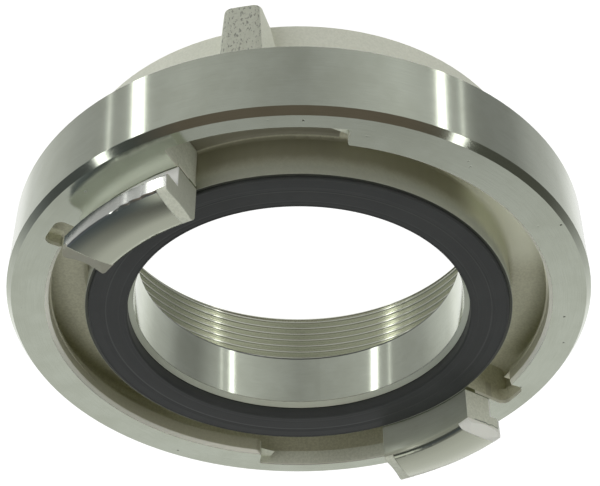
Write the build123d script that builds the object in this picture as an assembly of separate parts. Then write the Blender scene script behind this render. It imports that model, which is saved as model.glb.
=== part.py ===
import os
from math import cos, degrees, radians, sin

from build123d import *

# Symmetric claw coupling half with a female pipe thread, cast aluminium with turned faces.
# It lies on its threaded end: the origin is the centre of the flat back face, +Z points out of
# the claw side, and the two gates that let the other half's claws in are centred on X.
# Everything repeats after half a turn about Z. Lengths in mm, angles in degrees.

# Connection size: the gap across the inner faces of the two claws names the size
claw_spacing = 115.0
body_height = 44.7
rim_height = 22.5

# Claws: a stem on the inner side and a lip that hooks outward
claw_rise = 11.4
claw_crown = 0.5
claw_width_angle = 30.2
claw_gate_overhang_angle = 0.35
claw_stem_thickness = 8.8
lip_overhang = 4.7
lip_thickness = 5.2
claw_inner_round = 2.0
claw_edge_round = 0.6
claw_corner_radius = 3.0
gate_end_bevel_inset = 2.8
gate_end_bevel_depth = 0.8
far_end_bevel_inset = 4.2
far_end_bevel_depth = 1.5

# Flange that the other half's claws hook under, its gates and the tool relief beside each claw
gate_width_angle = 35.5
stem_clearance = 0.6
gate_clearance = 1.8
flange_edge_chamfer = 0.9
flange_entry_thickness = 4.9
flange_locked_thickness = 5.7
relief_width_angle = 7.6
relief_clearance = 1.2
gate_corner_radius = 1.1
flange_corner_radius = 2.3
relief_corner_radius = 2.2

# Channel behind the flange, where the other half's claws travel, and the rim around it
channel_depth = 13.0
channel_clearance = 2.6
channel_floor_fillet = 1.5
collar_clearance = 0.3
floor_step_angle = 82.0
floor_ramp_angle = 40.0
floor_step_height = 1.2
rim_wall = 4.4

# Waterway through the collar
bore_diameter = 89.4
bore_chamfer = 1.3
bore_shoulder_round = 0.8

# Groove for the sealing ring, and the ring's own section
groove_wall = 0.7
groove_lip_width = 1.2
groove_depth = 6.5
collar_lip_setback = 2.8
seal_clearance = 0.1
seal_proud = 0.85
seal_line_offset = 0.9
seal_line_width = 1.0
seal_line_depth = 0.5
seal_edge_round = 0.6

# Female pipe thread, nominal 4 inch parallel: the wall stands at its major diameter
thread_major_diameter = 113.03
thread_length = 20.1
thread_chamfer = 1.2
thread_undercut_depth = 1.1
thread_undercut_width = 4.4
neck_wall = 8.4

# Spanner lugs on the neck
lug_count = 2
lug_azimuth = 3.1
lug_height = 8.2
lug_tip_width = 9.4
lug_base_width = 10.8
lug_flare = 7.6
lug_corner_radius = 2.2
lug_end_round = 1.2

# Edge breaks
rim_front_chamfer_axial = 1.9
rim_front_chamfer_radial = 1.4
rim_back_chamfer = 0.6
neck_edge_chamfer = 0.4
neck_root_fillet = 2.0

# Radii, levels and azimuths that follow from the sizes above
claw_inner_r = claw_spacing / 2
collar_r = claw_inner_r - collar_clearance
stem_r = claw_inner_r + claw_stem_thickness
lip_r = stem_r + lip_overhang
flange_r = stem_r + stem_clearance
gate_r = lip_r + gate_clearance
relief_r = lip_r + relief_clearance
channel_r = lip_r + channel_clearance
rim_r = channel_r + rim_wall
bore_r = bore_diameter / 2
seal_inner_r = bore_r + bore_chamfer
groove_inner_r = seal_inner_r + groove_lip_width
groove_outer_r = collar_r - groove_wall
thread_r = thread_major_diameter / 2
undercut_r = thread_r + thread_undercut_depth
neck_r = thread_r + neck_wall
lug_r = neck_r + lug_height
face_z = body_height
tip_z = face_z + claw_rise
floor_z = face_z - channel_depth
rim_back_z = face_z - rim_height
groove_z = face_z - groove_depth
seat_z = face_z - collar_lip_setback
shoulder_z = thread_length + thread_undercut_width
gate_half = gate_width_angle / 2
claw_start = gate_half - claw_gate_overhang_angle
claw_end = claw_start + claw_width_angle
channel_start = claw_end - 180
relief_end = channel_start + relief_width_angle
channel_sweep = gate_half - channel_start
cut_margin = 1.0


def turned(points, start=0.0, sweep=360.0, fillets=None, crown_point=None):
    """Turn a closed outline of (radius, height) points about Z, from one azimuth over a sweep.

    The outline's last side is straight, or bows through crown_point.
    """
    if crown_point:
        last_side = ThreePointArc(points[-1], crown_point, points[0])
        outline = make_face([Polyline(*points), last_side])
    else:
        outline = make_face(Polyline(*points, close=True))
    for (radius, height), size in (fillets or {}).items():
        corner = outline.vertices().sort_by_distance((radius, height, 0))[0]
        outline = fillet(corner, size)
    upright = Plane(origin=(0, 0, 0), x_dir=(1, 0, 0), z_dir=(0, -1, 0)) * outline
    return Rot(0, 0, start) * revolve(upright, Axis.Z, sweep)


def ring_sector(inner_radius, outer_radius, start, sweep):
    """Flat piece of a ring between two radii, from one azimuth over a sweep."""
    inner = CenterArc((0, 0), inner_radius, start, sweep)
    outer = CenterArc((0, 0), outer_radius, start, sweep)
    sides = [Line(inner @ 0, outer @ 0), Line(inner @ 1, outer @ 1)]
    return make_face([inner, outer, *sides])


def polar(radius, azimuth, height=0.0):
    """Point at a radius and azimuth."""
    return Vector(radius * cos(radians(azimuth)), radius * sin(radians(azimuth)), height)


def rounded_at(sketch, corners):
    """Round the corners of a flat sketch that lie at the given (radius, azimuth, size)."""
    for radius, azimuth, size in corners:
        corner = sketch.vertices().sort_by_distance(polar(radius, azimuth))[0]
        sketch = fillet(corner, size)
    return sketch


def helical_ramp(inner_radius, outer_radius, start, sweep, low_z, rise, thickness):
    """Slab in a ring between two radii whose faces climb evenly by rise over the sweep."""
    middle = (inner_radius + outer_radius) / 2
    full_turn_rise = rise * 360 / abs(sweep)
    path = Helix(full_turn_rise, rise, middle, lefthand=sweep < 0)
    section = Plane(origin=path @ 0, x_dir=(1, 0, 0), z_dir=(0, 1, 0)) * Rectangle(
        outer_radius - inner_radius, thickness
    )
    slab = sweep_along(section, path)
    return Pos(0, 0, low_z) * Rot(0, 0, start) * slab


def sweep_along(section, path):
    """Sweep a section along a path with its height kept parallel to Z."""
    return sweep(section, path=path, normal=(0, 0, 1))


def turned_blank():
    """Rim, neck, collar and waterway as one turned ring, before any gate or channel is cut."""
    root = (neck_r, rim_back_z)
    bore_end = (bore_r, shoulder_z)
    points = [
        (thread_r + thread_chamfer, 0),
        (neck_r - neck_edge_chamfer, 0),
        (neck_r, neck_edge_chamfer),
        root,
        (rim_r - rim_back_chamfer, rim_back_z),
        (rim_r, rim_back_z + rim_back_chamfer),
        (rim_r, face_z - rim_front_chamfer_axial),
        (rim_r - rim_front_chamfer_radial, face_z),
        (groove_outer_r, face_z),
        (groove_outer_r, groove_z),
        (groove_inner_r, groove_z),
        (groove_inner_r, seat_z),
        (seal_inner_r, seat_z),
        (bore_r, seat_z - bore_chamfer),
        bore_end,
        (undercut_r, shoulder_z),
        (undercut_r, thread_length),
        (thread_r, thread_length),
        (thread_r, thread_chamfer),
    ]
    return turned(points, fillets={root: neck_root_fillet, bore_end: bore_shoulder_round})


def claw():
    """One claw: its stem rises from the face and its crowned lip hooks outward over the flange."""
    lip_z = tip_z - lip_thickness
    edge_z = tip_z - claw_crown
    base_z = face_z - cut_margin
    inner_edge = (claw_inner_r, edge_z)
    foot = [(claw_inner_r, base_z), (stem_r, base_z)]
    hook = [(stem_r, lip_z), (lip_r, lip_z), (lip_r, edge_z)]
    rounds = {corner: claw_edge_round for corner in hook}
    rounds[inner_edge] = claw_inner_round
    crown_point = ((claw_inner_r + lip_r) / 2, tip_z)
    body = turned([inner_edge, *foot, *hook], claw_start, claw_width_angle, rounds, crown_point)
    body -= corner_cutter()
    body -= bevel_cutter(claw_start, -1, gate_end_bevel_inset, gate_end_bevel_depth)
    return body - bevel_cutter(claw_end, 1, far_end_bevel_inset, far_end_bevel_depth)


def corner_cutter():
    """Upright sliver that rounds the lip's outer corner, seen from above, at the claw's far end."""
    outside = degrees(cut_margin / lip_r)
    reach = degrees(2 * claw_corner_radius / lip_r)
    inner_r = lip_r - 2 * claw_corner_radius
    around = ring_sector(inner_r, lip_r + cut_margin, claw_end - reach, reach + outside)
    kept = ring_sector(inner_r - cut_margin, lip_r, claw_end - 2 * reach, 2 * reach)
    sliver = around - rounded_at(kept, [(lip_r, claw_end, claw_corner_radius)])
    corner = polar(lip_r, claw_end)
    beside_corner = sliver.faces().sort_by_distance(corner)[0]
    return extrude(Pos(0, 0, face_z - 2 * cut_margin) * beside_corner, claw_rise + 3 * cut_margin)


def bevel_cutter(azimuth, side, inset, depth):
    """Cone beside a claw's end whose flank leaves a crescent bevel across the tip."""
    half_width = (lip_r - claw_inner_r) / 2
    middle_r = (lip_r + claw_inner_r) / 2
    top_radius = (half_width**2 + inset**2) / (2 * inset)
    low_radius = top_radius - inset
    flare = cut_margin * inset / depth
    align = (Align.CENTER, Align.CENTER, Align.MIN)
    cone = Cone(low_radius, top_radius + flare, depth + cut_margin, align=align)
    beside = polar(low_radius * side, azimuth + 90)
    return Pos(polar(middle_r, azimuth, tip_z - depth) + beside) * cone


def channel_opening():
    """Everything cut straight down from the face on one side: channel mouth, gate and relief."""
    mouth = ring_sector(collar_r, flange_r, channel_start, channel_sweep)
    gate = ring_sector(collar_r, gate_r, -gate_half, gate_width_angle)
    relief = ring_sector(collar_r, relief_r, channel_start, relief_width_angle)
    corners = [
        (gate_r, -gate_half, gate_corner_radius),
        (gate_r, gate_half, gate_corner_radius),
        (flange_r, -gate_half, flange_corner_radius),
        (relief_r, channel_start, relief_corner_radius),
        (relief_r, relief_end, relief_corner_radius),
        (flange_r, relief_end, flange_corner_radius / 2),
    ]
    outline = rounded_at(mouth + gate + relief, corners)
    return extrude(Pos(0, 0, floor_z + channel_floor_fillet) * outline, channel_depth)


def channel_undercut():
    """The turned space behind the flange on one side, with its floor fillets."""
    roof_z = face_z - flange_entry_thickness
    floor_corners = [(collar_r, floor_z), (channel_r, floor_z)]
    points = [*floor_corners, (channel_r, roof_z), (collar_r, roof_z)]
    rounds = {corner: channel_floor_fillet for corner in floor_corners}
    return turned(points, channel_start, channel_sweep, rounds)


def flange_edge_cutter():
    """Bevel along the flange's inner top edge, running out into the relief and the gate."""
    reach = flange_edge_chamfer + cut_margin
    inner_r = flange_r - cut_margin
    top_z = face_z + cut_margin
    points = [(inner_r, face_z - reach), (inner_r, top_z), (inner_r + reach + cut_margin, top_z)]
    run_out = relief_width_angle / 2
    start = relief_end - run_out
    return turned(points, start, -gate_half + run_out - start)


def locking_ramp():
    """Underside of the flange: it thickens from the gate towards the locked end."""
    rise = flange_locked_thickness - flange_entry_thickness
    thickness = flange_locked_thickness - 2 * rise
    low_z = face_z - flange_locked_thickness + thickness / 2
    sweep_angle = -gate_half - relief_end
    outer_r = channel_r + cut_margin
    return helical_ramp(flange_r, outer_r, relief_end, sweep_angle, low_z, rise, thickness)


def floor_ramp():
    """Low wedge on the channel floor that ends in a small step."""
    inner_r = collar_r - cut_margin
    outer_r = channel_r + cut_margin
    thickness = 2 * floor_step_height
    start = floor_step_angle - 180 + floor_ramp_angle
    low_z = floor_z - thickness / 2
    return helical_ramp(inner_r, outer_r, start, -floor_ramp_angle, low_z, floor_step_height, thickness)


def lug_section(width_at_neck):
    """Plan of a spanner lug on the X axis, from inside the neck's wall to its outer face."""
    root_r = neck_r - neck_wall / 2
    spread = (width_at_neck - lug_tip_width) * neck_wall / 2 / lug_height
    half_tip = lug_tip_width / 2
    half_root = (width_at_neck + spread) / 2
    tip_x = lug_r + cut_margin
    return Polygon((root_r, -half_root), (tip_x, -half_tip), (tip_x, half_tip), (root_r, half_root), align=None)


def lug():
    """One cast spanner lug on the X axis, flaring where it runs into the back of the rim."""
    top_z = rim_back_z + cut_margin
    wide = Pos(0, 0, top_z) * lug_section(lug_base_width + lug_flare)
    block = loft([lug_section(lug_base_width), wide])
    block &= Cylinder(lug_r, top_z, align=(Align.CENTER, Align.CENTER, Align.MIN))
    outer_face = block.faces().sort_by(Axis.X)[-1]
    corners = outer_face.edges().filter_by(lambda edge: edge.length > rim_height / 2)
    block = fillet(corners, lug_corner_radius)
    back_edges = block.faces().sort_by(Axis.Z)[0].edges()
    outer_edges = [edge for edge in back_edges if edge.center().X > neck_r]
    return fillet(outer_edges, lug_end_round)


def coupling_body():
    """The one-piece casting with all its turned faces."""
    body = turned_blank()
    for index in range(lug_count):
        body += Rot(0, 0, lug_azimuth + index * 360 / lug_count) * lug()
    for turn in (0, 180):
        around = Rot(0, 0, turn)
        body -= around * channel_undercut()
        body -= around * channel_opening()
        body -= around * flange_edge_cutter()
        body += around * locking_ramp()
        body += around * floor_ramp()
        body += around * claw()
    return body


def sealing_ring():
    """Moulded rubber ring: its heel fills the groove and its lip covers the collar's inner edge."""
    heel_inner_r = groove_inner_r + seal_clearance
    outer_r = groove_outer_r - seal_clearance
    top_z = face_z + seal_proud
    line_r = (seal_inner_r + outer_r) / 2 + seal_line_offset
    line_inner_r = line_r - seal_line_width / 2
    line_outer_r = line_r + seal_line_width / 2
    line_z = top_z - seal_line_depth
    points = [
        (heel_inner_r, groove_z),
        (outer_r, groove_z),
        (outer_r, top_z),
        (line_outer_r, top_z),
        (line_outer_r, line_z),
        (line_inner_r, line_z),
        (line_inner_r, top_z),
        (seal_inner_r, top_z),
        (seal_inner_r, seat_z),
        (heel_inner_r, seat_z),
    ]
    rounds = {(outer_r, top_z): seal_edge_round, (seal_inner_r, top_z): seal_edge_round}
    return turned(points, fillets=rounds)


if __name__ == "__main__":
    os.makedirs("parts", exist_ok=True)
    for name, solid in {"coupling_body": coupling_body(), "sealing_ring": sealing_ring()}.items():
        export_step(solid, f"parts/{name}.step")
        print(name, "volume", round(solid.volume / 1000, 2), "cm3, box", solid.bounding_box())
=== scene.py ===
# %% [markdown]
# A coupling half for a large fire hose: one aluminium casting with a rubber ring.
# The solid already has its rim, claws, channel and bore, so this lesson is mostly about
# finish. It shows how one material can be turned in one place and rough cast in another,
# how a screw thread is a bent sheet of numbers, and how a round mirror is lit.

# %% Load the solid
import math

import bpy
import numpy as np
from mathutils import Matrix, Vector


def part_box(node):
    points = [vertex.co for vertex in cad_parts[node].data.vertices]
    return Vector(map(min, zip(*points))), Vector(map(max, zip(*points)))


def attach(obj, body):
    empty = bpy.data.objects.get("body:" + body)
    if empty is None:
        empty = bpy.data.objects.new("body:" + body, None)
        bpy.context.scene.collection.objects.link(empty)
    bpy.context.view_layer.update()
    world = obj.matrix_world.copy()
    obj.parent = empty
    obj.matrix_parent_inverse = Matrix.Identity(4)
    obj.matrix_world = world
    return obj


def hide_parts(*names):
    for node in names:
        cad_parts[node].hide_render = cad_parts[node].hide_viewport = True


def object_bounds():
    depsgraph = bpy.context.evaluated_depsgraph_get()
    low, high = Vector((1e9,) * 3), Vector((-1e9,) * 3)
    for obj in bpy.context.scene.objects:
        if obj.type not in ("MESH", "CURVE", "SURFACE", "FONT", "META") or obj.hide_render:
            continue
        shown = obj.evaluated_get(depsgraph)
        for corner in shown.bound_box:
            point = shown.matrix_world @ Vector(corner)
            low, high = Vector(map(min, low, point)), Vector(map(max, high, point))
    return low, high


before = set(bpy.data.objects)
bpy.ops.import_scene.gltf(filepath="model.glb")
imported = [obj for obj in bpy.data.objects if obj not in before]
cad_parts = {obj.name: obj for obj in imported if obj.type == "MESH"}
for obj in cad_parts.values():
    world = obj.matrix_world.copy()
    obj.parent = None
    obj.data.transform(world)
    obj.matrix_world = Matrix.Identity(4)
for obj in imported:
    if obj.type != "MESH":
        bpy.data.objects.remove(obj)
cad_box = [list(corner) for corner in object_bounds()]
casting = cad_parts["coupling_body"]
ring_low, ring_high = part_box("sealing_ring")
print("casting spans", cad_box)
print("ring spans", list(ring_low), list(ring_high))

# %% [markdown]
# Every length below is in millimetres, as on a drawing. Blender works in metres, so a
# shape is scaled once, when it goes into its mesh. These radii and heights are the
# casting's own. The materials need them too, because they find each surface by its place.
# Claws and gates are given as angles: a claw's two ends, and half the width of a gate.

# %% The casting's radii and heights
MM = 0.001
FACE = 44.7
TIP = round(cad_box[1][2] / MM, 2)
RIM_BACK = 22.2
COLLAR = 57.2
CHANNEL_WALL = 73.6
CHANNEL_FLOOR = 31.7
GATE_HALF = 17.75
CLAW_START = 17.4
CLAW_END = 47.6
print("claws are", round(TIP - FACE, 2), "mm high on a face at", FACE)

# %% [markdown]
# A surface is a grid of points: one direction runs around the part, the other across its
# section. Both directions can close on themselves, and then the mesh has no open edge.
# The faces come from the same arithmetic on row and column numbers, so no point is
# ever visited one by one.


# %% Put a grid of points into a mesh
def grid_mesh(name, points, close_rows, close_columns):
    """Mesh of a grid of points, shape (rows, columns, 3) in mm.

    Face (i, j) joins the points (i, j), (i+1, j), (i+1, j+1) and (i, j+1), where the
    numbers start again at 0 past a closed edge. Its outside is on the side of
    (column step) x (row step).
    """
    rows, columns = points.shape[:2]
    i = np.arange(rows if close_rows else rows - 1)[:, None]
    j = np.arange(columns if close_columns else columns - 1)[None, :]
    below = (i + 1) % rows
    right = (j + 1) % columns
    corners = [i * columns + j, i * columns + right, below * columns + right, below * columns + j]
    faces = np.stack(corners, axis=-1).reshape(-1, 4)
    mesh = bpy.data.meshes.new(name)
    mesh.vertices.add(rows * columns)
    mesh.vertices.foreach_set("co", (points * MM).astype(np.float32).ravel())
    mesh.loops.add(faces.size)
    mesh.loops.foreach_set("vertex_index", faces.ravel().astype(np.int32))
    mesh.polygons.add(len(faces))
    mesh.polygons.foreach_set("loop_start", np.arange(0, faces.size, 4, dtype=np.int32))
    mesh.update(calc_edges=True)
    mesh.validate()
    mesh.shade_smooth()
    piece = bpy.data.objects.new(name, mesh)
    bpy.context.scene.collection.objects.link(piece)
    print(name, "has", len(faces), "faces")
    return piece


def around_axis(radii, heights, angles):
    """Points (radius cos a, radius sin a, height) for a section turned about the axis."""
    x = radii * np.cos(angles)
    y = radii * np.sin(angles)
    return np.stack([x, y, np.broadcast_to(heights, x.shape)], axis=-1)


# %% [markdown]
# Inside the threaded end runs a four inch pipe thread with 11 turns to the inch. A screw
# modifier could wind it, but its ends would be raw. Here the wall is a sheet over angle
# and height, and the radius at each point comes from how far the point is along the
# turn. The ridge fades out at both ends, as it does where a tap runs in and out. The
# sheet stands a little proud of the solid's wall and closes on itself inside it.

# %% The pipe thread
PITCH = 25.4 / 11
THREAD_ROOT = 56.515
THREAD_DEPTH = 1.479
THREAD_FROM = 0.9
THREAD_TO = 20.05
RUN_IN = 1.6
RUN_OUT = 0.5
PROUD = 0.03
BEHIND = 0.25
FLANK_SLOPE = 1.7
CREST_SHARE = 0.56
EASED = 0.35


def thread_sheet(turn_steps=288, height_steps=150):
    """Inner wall: radius = root - proud - (depth - proud) x crest(phase) x fades(height).

    phase = height / pitch - angle / (2 pi), so a point one pitch up has the same phase,
    and climbing goes with turning anticlockwise, which makes the thread right handed.
    crest is a triangle wave with its tips cut off and its corners eased, so the flanks
    stand about 50 degrees apart, where a true pipe thread has 55.
    """
    angles = np.linspace(0, 2 * np.pi, turn_steps, endpoint=False)[None, :]
    heights = np.linspace(THREAD_FROM, THREAD_TO, height_steps)[:, None]
    phase = (heights / PITCH - angles / (2 * np.pi)) % 1.0
    triangle = 1 - np.abs(2 * phase - 1)
    crest = np.clip((triangle - 0.5) * FLANK_SLOPE + CREST_SHARE, 0.0, 1.0)
    crest = crest * crest * (3 - 2 * crest) * EASED + crest * (1 - EASED)
    fade_in = np.clip((heights - THREAD_FROM) / RUN_IN, 0, 1)
    fade_out = np.clip((THREAD_TO - heights) / RUN_OUT, 0, 1)
    radii = THREAD_ROOT - PROUD - (THREAD_DEPTH - PROUD) * crest * fade_in * fade_out
    inner = around_axis(radii, heights, angles)
    outer_heights = np.array([THREAD_TO, THREAD_FROM])[:, None]
    outer_radii = np.full((2, turn_steps), THREAD_ROOT + BEHIND)
    outer = around_axis(outer_radii, outer_heights, angles)
    return np.concatenate([inner, outer], axis=0)


thread = grid_mesh("pipe_thread", thread_sheet(), close_rows=True, close_columns=True)
thread.data.flip_normals()
print("thread makes", round((THREAD_TO - THREAD_FROM) / PITCH, 1), "turns")

# %% [markdown]
# The sealing ring is moulded rubber. Its lip lies over the collar's inner edge and its
# heel sits in a groove. The mould leaves fine lines around it: a pair in the middle of the
# face and one near the inner edge. They are too fine for the solid, so the ring's
# section is drawn again here, with arcs at its edges and shallow dips for the lines. Its
# size comes from the solid ring, which it replaces.

# %% The sealing ring
RING_INNER = 46.0
RING_HEEL = 47.3
RING_OUTER = round(ring_high[0] / MM, 2)
RING_TOP = round(ring_high[2] / MM, 2)
RING_SEAT = 41.9
RING_BOTTOM = round(ring_low[2] / MM, 2)
EDGE_ROUND = 0.6
HEEL_CHAMFER = 0.4
LIP_CHAMFER = 0.3
FACE_CROWN = 0.12
FACE_SINK = 0.02
MIDDLE_LINE = 52.1
PAIR_GAP = 0.65
INNER_LINE = 48.0


def quarter_arc(centre_r, centre_z, size, start, steps=8):
    """Quarter circle (centre + size x cos t, centre + size x sin t), turning clockwise."""
    t = np.radians(np.linspace(start, start - 90, steps))
    return np.stack([centre_r + size * np.cos(t), centre_z + size * np.sin(t)], axis=-1)


def ring_section():
    """Closed outline of (radius, height), clockwise: inner edge, top, outer edge, heel.

    The top is height = top - crown x (share of the half width)^2
    - sum over the lines of depth x exp(-((radius - line) / width)^2).
    """
    inner_arc = quarter_arc(RING_INNER + EDGE_ROUND, RING_TOP - EDGE_ROUND, EDGE_ROUND, 180)
    outer_arc = quarter_arc(RING_OUTER - EDGE_ROUND, RING_TOP - EDGE_ROUND, EDGE_ROUND, 90)
    r = np.linspace(RING_INNER + EDGE_ROUND, RING_OUTER - EDGE_ROUND, 150)[1:-1]
    line = np.array([MIDDLE_LINE, MIDDLE_LINE + PAIR_GAP, INNER_LINE])[:, None]
    depth = np.array([0.12, 0.05, 0.05])[:, None]
    width = np.array([0.45, 0.22, 0.25])[:, None]
    dips = depth * np.exp(-(((r[None, :] - line) / width) ** 2))
    middle = (RING_INNER + RING_OUTER) / 2
    crown = FACE_CROWN * ((r - middle) / (RING_OUTER - middle)) ** 2
    top = np.stack([r, RING_TOP - FACE_SINK - dips.sum(axis=0) - crown], axis=-1)
    heel = np.array([
        [RING_OUTER, RING_BOTTOM + HEEL_CHAMFER],
        [RING_OUTER - HEEL_CHAMFER, RING_BOTTOM],
        [RING_HEEL + HEEL_CHAMFER, RING_BOTTOM],
        [RING_HEEL, RING_BOTTOM + HEEL_CHAMFER],
        [RING_HEEL, RING_SEAT],
        [RING_INNER + LIP_CHAMFER, RING_SEAT],
        [RING_INNER, RING_SEAT + LIP_CHAMFER],
    ])
    return np.concatenate([inner_arc, top, outer_arc, heel])


section = ring_section()
ring_turn = np.linspace(0, 2 * np.pi, 240, endpoint=False)[None, :]
ring = grid_mesh("ring_rubber", around_axis(section[:, 0:1], section[:, 1:2], ring_turn), True, True)
print("ring section has", len(section), "points, top", round(section[:, 1].max(), 2))

# %% [markdown]
# Shader nodes are clearer as sums than as boxes. This small class wraps a socket, so that
# an expression such as 1 - mask adds its Math node. Each operator has a reflected form for
# a plain number on its left.


# %% Shader maths as Python expressions
class Socket:
    """An output socket. Arithmetic on it adds Math nodes, or Vector Math for vectors."""

    def __init__(self, graph, output):
        self.graph = graph
        self.output = output

    def __add__(self, other):
        return self.graph.calculate("ADD", self, other)

    def __radd__(self, other):
        return self.graph.calculate("ADD", other, self)

    def __sub__(self, other):
        return self.graph.calculate("SUBTRACT", self, other)

    def __rsub__(self, other):
        return self.graph.calculate("SUBTRACT", other, self)

    def __mul__(self, other):
        return self.graph.calculate("MULTIPLY", self, other)

    def __rmul__(self, other):
        return self.graph.calculate("MULTIPLY", other, self)

    def __truediv__(self, other):
        return self.graph.calculate("DIVIDE", self, other)

    def __rtruediv__(self, other):
        return self.graph.calculate("DIVIDE", other, self)


print("sockets can be added, subtracted, multiplied and divided")

# %% [markdown]
# A graph is the node tree of one material or of the world. One method makes any node: it
# sets the node's settings first, such as a ramp's stops, and then gives its sockets their
# values or links. The other methods are what the finishes below need again and again: a
# smooth step, a band between two values, colours laid over one another, a noise, and the
# place on the part.


# %% Any node from one method
class Graph:
    """The node tree of one material or world."""

    def __init__(self, owner):
        owner.use_nodes = True
        self.tree = owner.node_tree
        self.tree.nodes.clear()

    def node(self, kind, settings=None, inputs=None, output=0):
        """Add a node, set its settings, then give its sockets their values or links."""
        made = self.tree.nodes.new(kind)
        for name, value in (settings or {}).items():
            if name == "stops":
                self.set_stops(made.color_ramp.elements, value)
            else:
                setattr(made, name, value)
        for name, value in (inputs or {}).items():
            if isinstance(value, Socket):
                self.tree.links.new(value.output, made.inputs[name])
            else:
                made.inputs[name].default_value = value
        return Socket(self, made.outputs[output]) if len(made.outputs) else made

    def set_stops(self, elements, stops):
        """Stops of a colour ramp: (position, grey or colour) in rising order."""
        while len(elements) < len(stops):
            elements.new(0.5)
        for element, (place, shade) in zip(elements, stops):
            element.position = place
            element.color = (*shade, 1) if hasattr(shade, "__len__") else (shade, shade, shade, 1)

    def calculate(self, operation, first, second):
        """first (operation) second, where either may be a number or a socket."""
        sockets = [part for part in (first, second) if isinstance(part, Socket)]
        is_vector = any(part.output.type == "VECTOR" for part in sockets)
        kind = "ShaderNodeVectorMath" if is_vector else "ShaderNodeMath"
        return self.node(kind, {"operation": operation}, {0: first, 1: second})

    def math(self, operation, *values):
        """One Math node: operation on numbers or sockets."""
        return self.node("ShaderNodeMath", {"operation": operation}, dict(enumerate(values)))

    def between(self, value, low, high, soft):
        """1 where value lies between low and high, falling smoothly to 0 over soft."""
        rise = self.step(value, low - soft, low + soft)
        fall = self.step(value, high - soft, high + soft)
        return rise * (1 - fall)

    def step(self, value, low, high):
        """0 below low, 1 above high, smooth in between."""
        settings = {"interpolation_type": "SMOOTHSTEP"}
        return self.node("ShaderNodeMapRange", settings, {0: value, 1: low, 2: high})

    def blend(self, mask, first, second):
        """Colour that goes from first to second as mask goes from 0 to 1."""
        settings = {"data_type": "RGBA", "clamp_factor": True}
        return self.node("ShaderNodeMix", settings, {0: mask, 6: first, 7: second}, output=2)

    def layers(self, colour, *laid_over):
        """colour with each (mask, other colour) laid over it in turn."""
        for mask, other in laid_over:
            colour = self.blend(mask, colour, other)
        return colour

    def noise(self, vector, scale, detail=2.0, roughness=0.5):
        """Smooth noise of about 0 to 1, with features about 1 / scale mm wide."""
        inputs = {"Vector": vector, "Scale": scale, "Detail": detail, "Roughness": roughness}
        return self.node("ShaderNodeTexNoise", {}, inputs)

    def split(self, vector):
        """The three numbers of a vector, as sockets."""
        parts = self.node("ShaderNodeSeparateXYZ", inputs={0: vector})
        return [Socket(self, output) for output in parts.output.node.outputs]

    def places(self):
        """The point on the object in mm: the vector, its radius, height and azimuth."""
        point = self.node("ShaderNodeTexCoord", output=3) * (1000.0, 1000.0, 1000.0)
        x, y, z = self.split(point)
        radius = self.math("SQRT", x * x + y * y)
        azimuth = self.math("ARCTAN2", y, x) * math.degrees(1)
        return point, radius, z, azimuth

    def surface(self, height, strength, inputs):
        """The material's shader, with height in mm as its bump and the given inputs."""
        relief = {"Strength": strength, "Distance": MM, "Height": height}
        bump = self.node("ShaderNodeBump", {}, relief)
        shader = self.node("ShaderNodeBsdfPrincipled", {}, {"Normal": bump, **inputs})
        self.node("ShaderNodeOutputMaterial", {}, {0: shader})


print("shader helpers ready")

# %% [markdown]
# The real casting has two skins. The neck, its spanner lugs, the gate walls and the ends
# of the claws keep the grain of the mould, dull and light. The rim, the face and the bore
# were cut on a lathe and polished, so they are nearly a mirror. Two materials would need
# the mesh cut along every edge between the skins. One material with masks is simpler: a
# mask is 1 on its surface and 0 elsewhere, and is worked out from a point's radius, height
# and azimuth. Claws and gates repeat after half a turn, so the masks read the azimuth
# modulo 180 degrees, or the angle to the middle of the nearest gate.

# %% Places on the casting
aluminium = bpy.data.materials.new("turned_and_cast_aluminium")
metal = Graph(aluminium)
point, radius, z, azimuth = metal.places()
half_turn = metal.math("FLOORED_MODULO", azimuth, 180.0)
from_gate = metal.math("ABSOLUTE", metal.math("FLOORED_MODULO", azimuth + 90.0, 180.0) - 90.0)
above_face = metal.step(z, FACE + 0.05, FACE + 0.4)
ragged = metal.noise(point, 0.35, 3.0)
print("places on the casting take", len(metal.tree.nodes), "nodes")

# %% [markdown]
# A claw is cut off at a fixed azimuth at either end, so its rough ends are found in
# degrees. The bevels at its tip are as wide at the lip as at the stem. There the distance
# from the end is an arc in millimetres: degrees x radius x pi / 180. The back of the stem,
# under the hooked lip, is as cast too.

# %% The claws' rough ends
STEM = 66.3
LIP = 71.0
LIP_UNDERSIDE = 50.9
GATE_BEVEL = 2.8
FAR_BEVEL = 4.2
gate_end = metal.between(half_turn, CLAW_START - 0.25, CLAW_START + 0.12, 0.08)
far_end = metal.between(half_turn, CLAW_END - 0.12, CLAW_END + 0.25, 0.08)
from_start = (half_turn - CLAW_START) * radius * math.radians(1)
from_end = (CLAW_END - half_turn) * radius * math.radians(1)
gate_bevel = metal.between(from_start, -0.1, GATE_BEVEL - 0.1, 0.1) * metal.step(z, TIP - 1.2, TIP - 1.0)
far_bevel = metal.between(from_end, -0.1, FAR_BEVEL - 0.1, 0.1) * metal.step(z, TIP - 1.8, TIP - 1.6)
under_lip = 1 - metal.step(z, LIP_UNDERSIDE + 0.05, LIP_UNDERSIDE + 0.2)
along_claw = metal.between(half_turn, CLAW_START - 0.2, CLAW_END + 0.2, 0.1)
claw_back = metal.step(radius, STEM - 0.5, STEM - 0.2) * under_lip * along_claw
rough_ends = gate_end + far_end + gate_bevel + far_bevel + claw_back
claw_ends = above_face * metal.math("MINIMUM", rough_ends, 1.0)
print("a claw is", round((CLAW_END - CLAW_START) * LIP * math.radians(1), 1), "mm long at its lip")

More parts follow.
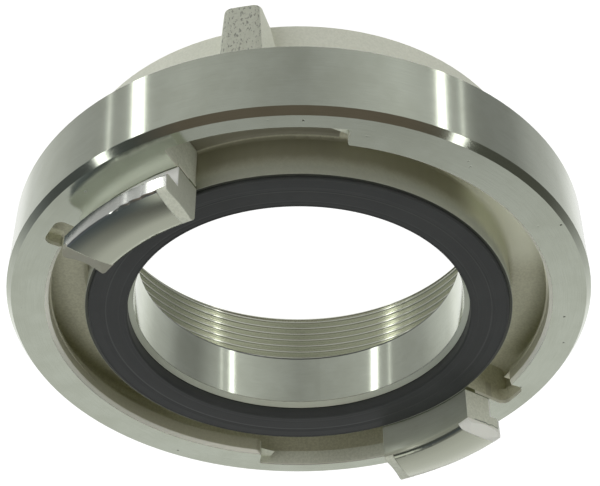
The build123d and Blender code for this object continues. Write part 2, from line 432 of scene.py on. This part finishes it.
# %% [markdown]
# The neck and the spanner lugs lie below the rim, and their radius tells them from the
# thread. The walls of the gates are as cast from the floor to the face. So is the top of
# the collar's side. The cut that cleaned its foot ended unevenly, and a noise that is
# added to the height makes that edge ragged.

# %% The mould's skin
NECK = 64.9
LUG = 73.1
neck = metal.between(z, 0.12, RIM_BACK - 0.1, 0.12) * metal.step(radius, NECK - 2.4, NECK - 1.9)
lug_end = metal.step(radius, LUG - 0.8, LUG - 0.5) * (1 - metal.step(z, RIM_BACK - 0.4, RIM_BACK))
collar_side = metal.between(radius, COLLAR - 0.1, COLLAR + 0.15, 0.05)
collar_top = collar_side * metal.step(z + (ragged - 0.5) * 2.0, FACE - 7.0, FACE - 2.0)
past_gate = metal.step(from_gate, GATE_HALF + 0.1, GATE_HALF + 0.5)
in_gate = metal.between(radius, COLLAR + 0.5, CHANNEL_WALL - 0.5, 0.2) * (1 - past_gate)
gate_walls = in_gate * metal.between(z, CHANNEL_FLOOR + 0.5, FACE - 0.5, 0.3)
cast = metal.math("MINIMUM", neck + claw_ends + collar_top + gate_walls, 1.0)
turned = 1 - cast
print("the neck's wall is", round(NECK - THREAD_ROOT, 1), "mm thick, a lug", round(LUG - NECK, 1), "high")

# %% [markdown]
# The channel was turned too, but the polish never reached it and it has gone brown. On the floor of
# the gates, at the collar's foot and on the flange's inner wall the brown is painted darker as painted
# shade.

# %% The channel
FLANGE = 66.9
in_channel = metal.between(radius, COLLAR - 0.1, CHANNEL_WALL + 0.2, 0.1) * (
    metal.between(z, CHANNEL_FLOOR - 0.3, FACE - 1.1, 0.2)
)
collar_foot_shade = (1 - metal.step(radius, COLLAR + 0.2, COLLAR + 0.5)) * (
    1 - metal.step(z, FACE - 4.5, FACE - 1.5)
)
gate_floor_shade = in_gate * (1 - metal.step(z, CHANNEL_FLOOR + 0.3, CHANNEL_FLOOR + 0.6))
flange_wall_shade = metal.between(radius, FLANGE - 1.4, FLANGE + 0.7, 0.2) * (
    metal.step(z, FACE - 6.0, FACE - 5.6)
)
print("the channel is", round(FLANGE - COLLAR, 1), "mm wide at its mouth")

# %% [markdown]
# Elsewhere the polish thins out. The edges of the flange and of the bore and the inner
# walls of the claws are duller than the face. The claws' tips are darker and warmer, while the
# outer faces of the lips and the flange's edge are painted pale as painted highlights. The narrow
# rim around the rubber is a dark line, and the shoulder behind the waterway is painted dark as
# painted shadow. The tool marks stop at the thread, because it has its own shape.

# %% Edges, claws and bore
BORE = 44.7
SHOULDER = 24.5
UNDERCUT = 57.6
flange_edge = metal.between(radius, COLLAR + 4.0, CHANNEL_WALL + 1.5, 0.1) * (
    metal.between(z, FACE - 1.1, FACE - 0.04, 0.02)
)
bore_edge = metal.between(radius, BORE + 0.06, RING_INNER + 0.05, 0.04) * (
    metal.step(z, SHOULDER + 5.5, SHOULDER + 6.5)
)
dull_edge = metal.math("MINIMUM", flange_edge + bore_edge, 1.0)
lip_face = metal.step(radius, LIP - 0.7, LIP - 0.4) * above_face
claw_tips = metal.step(z, TIP - 2.0, TIP - 1.7) * (1 - lip_face)
claw_inside = above_face * (1 - metal.step(radius, COLLAR + 0.5, COLLAR + 0.9))
ring_rim = metal.between(radius, RING_OUTER + 0.05, COLLAR + 0.1, 0.1) * (
    metal.between(z, FACE - 0.8, FACE + 0.1, 0.1)
)
shoulder = metal.between(z, SHOULDER - 0.3, SHOULDER + 0.9, 0.1) * (
    1 - metal.step(radius, BORE + 1.8, BORE + 2.3)
)
in_thread = (1 - metal.step(z, SHOULDER - 2.5, SHOULDER - 1.5)) * (
    1 - metal.step(radius, UNDERCUT + 0.4, UNDERCUT + 1.4)
)
print("the smooth waterway is", round(RING_SEAT - SHOULDER, 1), "mm long")
print("all masks together take", len(metal.tree.nodes), "nodes")

# %% [markdown]
# A tool mark runs all around the axis, so its noise is read at (radius, height). A little
# azimuth goes in too, or the marks would be perfect. Grain, lumps and stains are noises of
# the point itself. Where the cut has opened a bubble in the metal there is a small hole, in
# the middle of a Voronoi cell, and its dark colour is painted shade. A second noise chooses the few cells
# that have one.

# %% Marks of the lathe and the mould
COARSE_SCALE = 1.6
FINE_SCALE = 7.0
around = metal.node("ShaderNodeCombineXYZ", inputs={0: radius, 1: z, 2: azimuth * 0.02})
coarse_marks = metal.noise(around, COARSE_SCALE, 3.0, 0.6)
fine_marks = metal.noise(around, FINE_SCALE, 2.0, 0.6)
grain = metal.noise(point, 1.4, 4.0, 0.62)
lumps = metal.noise(point, 0.22, 2.0)
stains = metal.noise(point, 0.08, 3.0, 0.6)
holes = metal.node("ShaderNodeTexVoronoi", {}, {"Vector": point, "Scale": 0.3, "Randomness": 1.0})
chosen = metal.step(metal.noise(point, 0.12, 1.0), 0.58, 0.66)
on_face = metal.between(z, FACE - 0.2, FACE + 0.2, 0.05) * metal.step(radius, COLLAR + 2.0, COLLAR + 3.0)
pit = (1 - metal.step(holes, 0.05, 0.12)) * chosen * on_face
print("tool marks are about", round(1 / COARSE_SCALE, 2), "and", round(1 / FINE_SCALE, 2), "mm wide")

# %% [markdown]
# The colours are laid over one another: first a plain tone, then each place that differs,
# with its mask as the stencil. Polished metal takes its look mostly from what it mirrors,
# so its own colour is only a slightly green grey with faint stains. The channel is hardly
# metallic, so its brown shows plainly. One stretch of its floor is painted paler as a painted
# highlight, and another a little. The lips' outer faces and the flange's edge carry painted
# highlights, and the shoulder behind the waterway a painted shadow.

# %% Colours of the cut metal
# painted highlight: paler stretches of the channel floor, where light falls into it
paler_bands = metal.between(azimuth, 90.0, 124.0, 6.0) * 0.9 + metal.between(azimuth, 54.0, 84.0, 5.0) * 0.15
brown = metal.layers(
    metal.blend(metal.step(grain, 0.3, 0.7), (0.58, 0.575, 0.43, 1), (0.74, 0.735, 0.57, 1)),
    # painted shade: darker brown at the collar's foot, on the gates' floor and on the flange's inner wall
    (collar_foot_shade, (0.36, 0.345, 0.25, 1)),
    (gate_floor_shade, (0.25, 0.235, 0.17, 1)),
    (flange_wall_shade * 0.6, (0.42, 0.41, 0.31, 1)),
    (paler_bands, (0.92, 0.93, 0.77, 1)),
)
# the narrow rim around the rubber is a dark line; the dark line at the shoulder is painted shadow
rim_line_and_painted_shadow = metal.math("MINIMUM", ring_rim + shoulder, 1.0)
clean = metal.layers(
    metal.blend(metal.step(stains, 0.35, 0.7), (0.665, 0.71, 0.60, 1), (0.61, 0.65, 0.54, 1)),
    (metal.step(fine_marks, 0.45, 0.62) * 0.25, (0.52, 0.55, 0.46, 1)),
    (in_thread, (0.735, 0.755, 0.635, 1)),
    (claw_tips, (0.54, 0.565, 0.455, 1)),
    # painted highlight: the outer faces of the lips are painted near white
    (lip_face * 0.8, (0.93, 0.95, 0.90, 1)),
    # painted highlight: the flange's edge is painted pale
    (flange_edge, (0.90, 0.905, 0.80, 1)),
    (in_channel * 0.9, brown),
    (rim_line_and_painted_shadow * 0.95, (0.09, 0.095, 0.08, 1)),
)
print("colours of the cut metal bring it to", len(metal.tree.nodes), "nodes")

# %% [markdown]
# The mould's skin is a light grey, and lightest on the neck. The claws' backs are painted near
# white, as painted light from a lamp. The lug's end has been knocked about: it is greyer and has
# short dark marks. At one claw the bevel at the rough far end is painted bright as a painted
# reflection, over a dark line. At the other claw that bevel is painted dark as painted shade.

# %% Colours of the mould's skin
CLAW_INSIDE = 57.5
greyer = lug_end * 0.45 + gate_end * above_face * 0.6 + collar_top * 0.75
knocks = metal.step(metal.noise(point * (1.0, 1.6, 0.7), 1.1, 2.0, 0.6), 0.57, 0.62)
# the far bevel is a painted reflection at one claw and painted shade at the other
bright_bevel_claw = metal.step(azimuth, -60.0, -50.0)
bevel = metal.blend(bright_bevel_claw, (0.36, 0.36, 0.29, 1), (0.92, 0.93, 0.86, 1))
below_bevel = metal.between(z + (ragged - 0.5) * 1.6, TIP - 2.3, TIP - 2.0, 0.1)
dark_line_under_bevel = far_end * below_bevel * metal.step(radius, CLAW_INSIDE + 2.0, CLAW_INSIDE + 3.0)
skin = metal.layers(
    metal.blend(metal.step(grain, 0.3, 0.7), (0.67, 0.70, 0.585, 1), (0.80, 0.825, 0.71, 1)),
    (greyer, (0.40, 0.42, 0.35, 1)),
    (neck * (1 - lug_end) * 0.45, (0.89, 0.91, 0.80, 1)),
    (knocks * lug_end * 0.6, (0.13, 0.14, 0.12, 1)),
    # painted light: the claws' backs are painted near white for the lamp light on them
    (claw_back * above_face, (0.92, 0.935, 0.90, 1)),
    (far_bevel, bevel),
    (dark_line_under_bevel * bright_bevel_claw * 0.8, (0.12, 0.14, 0.12, 1)),
)
print("colours of the mould's skin bring it to", len(metal.tree.nodes), "nodes")

# %% [markdown]
# A mould's skin scatters light, so it is rough and only a quarter metallic. The channel is
# as little metallic, but smoother. Tool marks, grain and holes are heights in millimetres
# for the bump. So is a crown on the claws' tips, which fall away towards their outer edge
# more than the solid's do: height = -fall x (radius - start)^2.

# %% Roughness, metal and relief
CROWN_START = 62.0
CROWN_FALL = 0.026
dulled = in_channel * 0.30 + ring_rim * 0.35 + claw_inside * 0.12 + dull_edge * 0.25
cut_rough = 0.10 + coarse_marks * 0.04 + stains * 0.04 + dulled + in_thread * 0.02
cast_rough = 0.66 + grain * 0.16
roughness = cut_rough * turned + cast_rough * cast + pit * 0.3
matt = cast * 0.75 + in_channel * 0.75 + claw_inside * 0.5 + dull_edge * 0.55
metallic = 1 - metal.math("MINIMUM", matt, 0.75)
cut_height = (coarse_marks * 0.12 + fine_marks * 0.05) * 0.02 * (1 - in_thread)
cast_height = grain * 0.10 + lumps * 0.25
outward = metal.math("MAXIMUM", radius - CROWN_START, 0.0)
crown = outward * outward * -CROWN_FALL * metal.step(z, FACE + 1.0, FACE + 5.5)
height = cut_height * turned + cast_height * cast - pit * 0.25 + crown
print("the crown falls", round(CROWN_FALL * (LIP - CROWN_START) ** 2, 1), "mm up to the lip's edge")

# %% [markdown]
# Grooves that run around the axis blur a reflection across themselves and not along, so
# the shader is a little anisotropic, turned by a quarter.

# %% Turned and cast aluminium
# painted shade: the dark colour inside each hole
colour = metal.layers(clean, (cast, skin), (pit * 0.85, (0.10, 0.10, 0.08, 1)))
metal.surface(height, 0.6, {
    "Base Color": colour, "Metallic": metallic, "Roughness": roughness,
    "Anisotropic": 0.6, "Anisotropic Rotation": 0.25,
})
casting.material_slots[0].material = aluminium
thread.data.materials.append(aluminium)
print("casting material has", len(metal.tree.nodes), "nodes")

# %% [markdown]
# Moulded rubber is nearly black and has a soft shine. A grey bloom and two lines rubbed
# paler, each beside a line of the mould, keep it from looking like a hole in the picture.


# %% Rubber
def rubber_material():
    material = bpy.data.materials.new("moulded_rubber")
    graph = Graph(material)
    point, radius, z, azimuth = graph.places()
    around = graph.node("ShaderNodeCombineXYZ", inputs={0: radius, 1: z, 2: azimuth * 0.01})
    rings = graph.noise(around, 2.2, 3.0, 0.6)
    bloom = graph.noise(point, 0.12, 3.0, 0.6)
    speck = graph.noise(point, 2.4, 2.0, 0.6)
    beside_middle = graph.between(radius, MIDDLE_LINE - 0.55, MIDDLE_LINE - 0.35, 0.12)
    beside_inner = graph.between(radius, INNER_LINE + 0.15, INNER_LINE + 0.25, 0.1)
    paler_bands = beside_middle + beside_inner * 0.5
    grey = graph.step(bloom + (rings - 0.5) * 0.5, 0.35, 0.75) * 0.5 + paler_bands * 2.0
    colour = graph.blend(grey * 0.5, (0.033, 0.036, 0.035, 1), (0.062, 0.066, 0.063, 1))
    height = rings * 0.02 + speck * 0.015
    graph.surface(height, 0.5, {"Base Color": colour, "Roughness": 0.46 + bloom * 0.14, "IOR": 1.42})
    return material


rubber = rubber_material()
ring.data.materials.append(rubber)
for piece, name in ((thread, "turned_casting"), (ring, "seal_rubber")):
    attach(piece, "root")
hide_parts("sealing_ring")
print("rubber material has", len(rubber.node_tree.nodes), "nodes")

# %% [markdown]
# The camera stands where the photographer did: high in front of the rim, with a long lens.
# The picture is shown turned by half a turn, so the camera is rolled over by the same.

# %% Camera
CAMERA_PLACE = Vector((-307.9, 43.55, 284.6)) * MM
LOOK_AZIMUTH = math.radians(-7.98)
LOOK_DOWN = math.radians(40.66)
ROLL = math.radians(180.208)
LENS = 87.5
SENSOR = 36.0


def aim(place, forward, roll=0.0):
    """Matrix of a camera or lamp at place that looks along forward, rolled about that line."""
    forward = forward.normalized()
    right = forward.cross(Vector((0, 0, 1))).normalized()
    up = right.cross(forward)
    axes = Matrix((right, up, -forward)).transposed().to_4x4()
    return Matrix.Translation(place) @ Matrix.Rotation(roll, 4, forward) @ axes


forward = Vector((
    math.cos(LOOK_DOWN) * math.cos(LOOK_AZIMUTH),
    math.cos(LOOK_DOWN) * math.sin(LOOK_AZIMUTH),
    -math.sin(LOOK_DOWN),
))
camera_data = bpy.data.cameras.new("camera")
camera_data.lens = LENS
camera_data.sensor_width = SENSOR
camera_data.clip_start = 0.01
camera = bpy.data.objects.new("camera", camera_data)
camera.matrix_world = aim(CAMERA_PLACE, forward, ROLL)
bpy.context.scene.collection.objects.link(camera)
bpy.context.scene.camera = camera
print("camera is", round(CAMERA_PLACE.length, 3), "m from the part's foot")

# %% [markdown]
# A polished cylinder shows a lamp as an upright streak, so where the streaks stand tells
# where the lamps were: narrow strips, 50 to 60 degrees to either side of the camera, with
# a fainter one beside each. The walls mirror what is low, so these hang below the part.
# The chamfers mirror what is high, and there two short lamps make their bright spots.
# Three large soft lamps fill the cast skin and the channel. They are not mirrored.

# %% Lamps
CAMERA_AZIMUTH = 171.95
LAMP_DISTANCE = 350


def lamp_at(name, bearing, rise, size, radiance, lean=0.0):
    """Rectangular lamp that faces the axis.

    bearing is in degrees from the camera, rise is (distance from the axis, height) in mm,
    size is (width, length) in mm, and lean turns it about the line to the part. A lamp on
    the axis faces down. Its power is radiance x pi x area.
    """
    angle = math.radians(CAMERA_AZIMUTH + bearing)
    outward = Vector((math.cos(angle), math.sin(angle), 0))
    distance, height = rise
    data = bpy.data.lights.new(name, "AREA")
    data.shape = "RECTANGLE"
    data.size = size[0] * MM
    data.size_y = size[1] * MM
    data.energy = radiance * math.pi * data.size * data.size_y
    lamp = bpy.data.objects.new(name, data)
    place = (outward * distance + Vector((0, 0, height))) * MM
    lamp.location = place
    if distance > 0:
        lamp.matrix_world = aim(place, -outward, math.radians(lean))
    bpy.context.scene.collection.objects.link(lamp)
    print(name, "gives", round(data.energy, 3), "W")
    return lamp


LOW = (LAMP_DISTANCE, -250)
HIGH = (LAMP_DISTANCE, 150)
lamp_at("left_strip", 59.3, LOW, (30, 300), 2.6, -15)
lamp_at("left_faint_strip", 72.5, LOW, (8, 300), 1.0, -15)
lamp_at("right_strip", -52.4, LOW, (20, 300), 2.6, 11)
lamp_at("right_faint_strip", -61.0, LOW, (8, 300), 1.0, 11)
lamp_at("left_high_lamp", 64, HIGH, (26, 160), 2.6)
lamp_at("right_high_lamp", -51, HIGH, (26, 160), 2.6)
fills = [
    lamp_at("left_fill", 50, (600, 160), (500, 500), 2.2),
    lamp_at("right_fill", -60, (600, 160), (500, 500), 1.7),
    lamp_at("top_fill", 0, (0, 640), (500, 500), 0.8),
]
for fill in fills:
    fill.visible_glossy = False

# %% [markdown]
# The rest of the room is what the metal mirrors, and the world holds it. A place in it is
# a bearing, in degrees from the camera, and an elevation. A ramp needs a number from 0 to
# 1, so share is the bearing as a part of the whole turn that begins behind the part.

# %% Directions in the room
world = bpy.data.worlds.new("room")
bpy.context.scene.world = world
room = Graph(world)
direction = room.node("ShaderNodeTexCoord", output=0)
dx, dy, dz = room.split(direction)
bearing = room.math("ARCTAN2", dy, dx) * math.degrees(1) - CAMERA_AZIMUTH
share = room.math("FLOORED_MODULO", bearing + 180.0, 360.0) / 360.0
elevation = room.math("ARCSINE", dz) * math.degrees(1)


def around_stops(pairs):
    """Ramp stops from (bearing in degrees from the camera, grey)."""
    return [((degrees + 180) / 360, grey) for degrees, grey in pairs]


def upward_stops(pairs):
    """Ramp stops from (elevation in degrees, grey)."""
    return [(height / 90, grey) for height, grey in pairs]


print("the camera is at bearing 0, azimuth", CAMERA_AZIMUTH)

# %% [markdown]
# The lower half changes only with the bearing: grey behind the camera and white on the far
# side. The upper half is dark, with the warm shade of the photographer in the middle. Only
# its far side is a pale wall that fades upwards, and a bright stretch of ceiling is above
# the part.

# %% Walls and ceiling
FAR_WALL = (125.0, 150.0)
CEILING = (60.0, 66.0)
HORIZON = (-8.0, 8.0)
low = room.node("ShaderNodeValToRGB", {"stops": around_stops([
    (-180, 1.0), (-146, 0.95), (-126, 0.56), (-108, 0.42), (-95, 0.26), (-78, 0.24), (-64, 0.42),
    (-42, 0.58), (0, 0.33), (48, 0.50), (66, 0.42), (84, 0.36), (98, 0.38), (116, 0.56),
    (134, 0.70), (146, 1.0), (180, 1.0),
])}, {0: share})
high = room.node("ShaderNodeValToRGB", {"stops": upward_stops([
    (0, 0.8), (20, 0.68), (37, 0.62), (41.5, 0.52), (46, 0.34), (56, 0.15), (90, 0.15),
])}, {0: elevation / 90.0})
from_camera = room.math("ABSOLUTE", share * 360.0 - 180.0)
shade = room.node("ShaderNodeValToRGB", {"stops": around_stops([
    (-180, (0.10, 0.10, 0.09)), (-60, (0.07, 0.07, 0.06)), (-40, (0.13, 0.105, 0.085)),
    (40, (0.13, 0.105, 0.085)), (60, (0.06, 0.065, 0.065)), (95, (0.07, 0.075, 0.08)),
    (125, (0.09, 0.105, 0.13)), (180, (0.10, 0.11, 0.12)),
])}, {0: share})
high = room.blend(room.step(from_camera, *FAR_WALL), shade, high)
high = room.blend(room.step(elevation, *CEILING), high, (0.80, 0.81, 0.79, 1))
mirrored = room.blend(room.step(elevation, *HORIZON), low, high)
print("walls and ceiling bring the world to", len(world.node_tree.nodes), "nodes")

# %% [markdown]
# The camera itself sees plain white everywhere, as on a page. The metal mirrors that same
# white only on the room's far side, which is where the background is: mirrored from all
# around it would wipe out the greys and the streaks that make turned metal look like metal.

# %% What the camera sees
camera_ray = room.node("ShaderNodeLightPath", output=0)
through_glass = Socket(room, camera_ray.output.node.outputs["Is Transmission Ray"])
seen = room.blend(room.math("MAXIMUM", camera_ray, through_glass), mirrored, (1, 1, 1, 1))
room.node("ShaderNodeOutputWorld", {}, {0: room.node("ShaderNodeBackground", {}, {0: seen, 1: 1.0})})
print("world has", len(world.node_tree.nodes), "nodes")

# %% [markdown]
# The floor is a plain white sheet that catches the part's soft shadow. Only the camera
# sees it: the light that a white table throws up, and what the metal mirrors of it, are
# already in the lower half of the room.

# %% Floor
FLOOR_HALF = 3000.0
sides = np.array([-FLOOR_HALF, FLOOR_HALF])
across, along = np.meshgrid(sides, sides)
floor = grid_mesh("floor", np.stack([across, along, 0 * across], axis=-1), False, False)
white = bpy.data.materials.new("white_sheet")
sheet = Graph(white)
matt_white = sheet.node("ShaderNodeBsdfDiffuse", {}, {0: (0.25, 0.25, 0.25, 1)})
glow = sheet.node("ShaderNodeEmission", {}, {0: (1, 1, 1, 1), 1: 0.975})
both = sheet.node("ShaderNodeAddShader", {}, {0: matt_white, 1: glow})
sheet.node("ShaderNodeOutputMaterial", {}, {0: both})
floor.data.materials.append(white)
floor.visible_diffuse = False
floor.visible_glossy = False
floor.visible_transmission = False
floor.visible_shadow = False

bpy.context.scene.view_settings.view_transform = "Standard"
